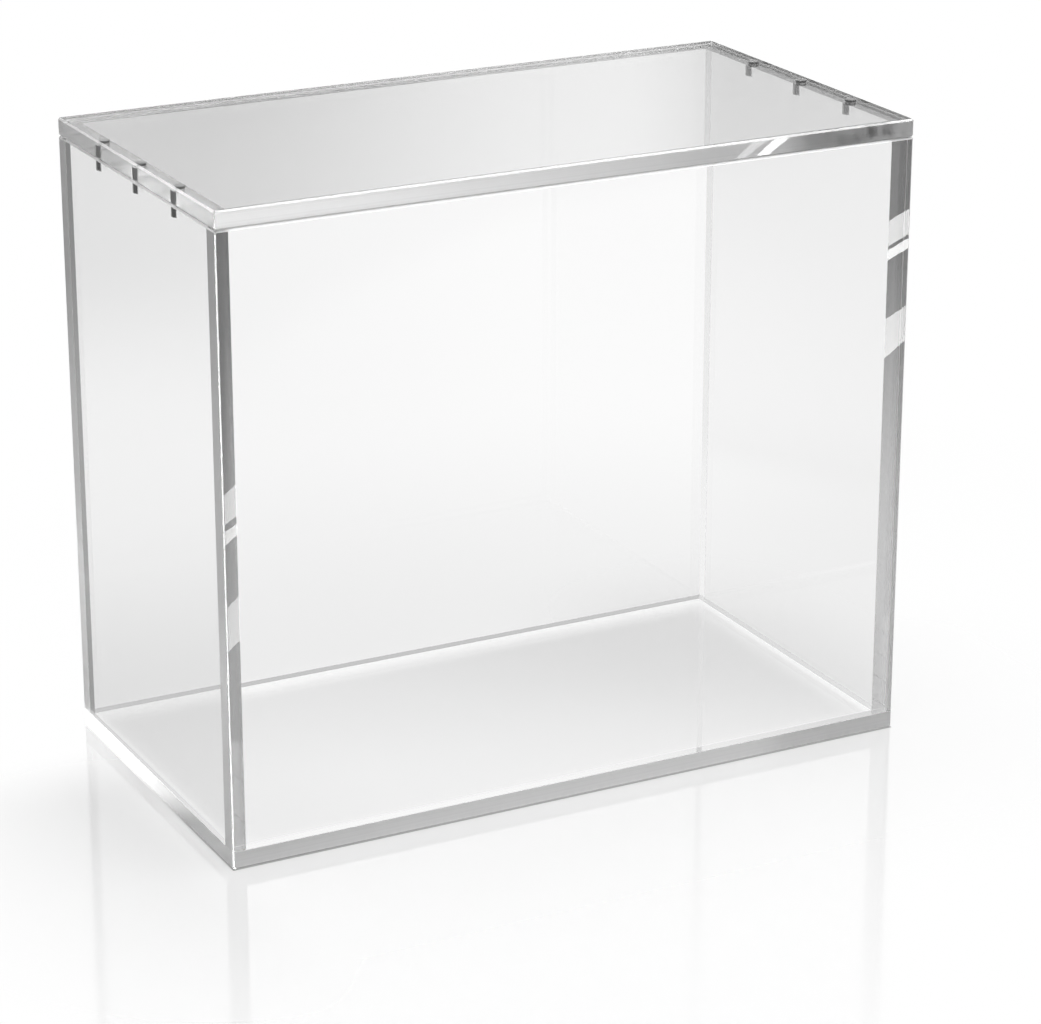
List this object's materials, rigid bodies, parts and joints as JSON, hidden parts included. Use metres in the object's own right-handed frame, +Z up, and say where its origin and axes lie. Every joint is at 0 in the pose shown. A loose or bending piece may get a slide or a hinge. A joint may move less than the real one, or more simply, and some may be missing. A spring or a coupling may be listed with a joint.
{
  "type": "acrylic display case",
  "caption": "Rectangular clear acrylic display case: panels bonded into an open box, with a loose flat lid that lifts off and is held on the rim by hidden magnets.",
  "frame": {"origin": "middle of the underside, on the surface that the case stands on", "axes": "+X along the width, +Y from the front panel to the back panel, +Z up"},
  "size_m": [0.204, 0.108, 0.178],
  "materials": {
    "clear_acrylic": "polished",
    "plated_magnet": "polished"
  },
  "bodies": {
    "case": {"base_panel": "clear_acrylic", "front_panel": "clear_acrylic", "back_panel": "clear_acrylic", "left_panel": "clear_acrylic", "right_panel": "clear_acrylic", "wall_magnet_left_1": "plated_magnet", "wall_magnet_left_2": "plated_magnet", "wall_magnet_left_3": "plated_magnet", "wall_magnet_right_1": "plated_magnet", "wall_magnet_right_2": "plated_magnet", "wall_magnet_right_3": "plated_magnet"},
    "lid": {"lid_panel": "clear_acrylic", "lid_magnet_left_1": "plated_magnet", "lid_magnet_left_2": "plated_magnet", "lid_magnet_left_3": "plated_magnet", "lid_magnet_right_1": "plated_magnet", "lid_magnet_right_2": "plated_magnet", "lid_magnet_right_3": "plated_magnet"}
  },
  "joints": [
    {"name": "lid_lift", "type": "slide", "parent": "case", "child": "lid", "axis": [0, 0, 1], "range_m": [0, 0.2]}
  ]
}
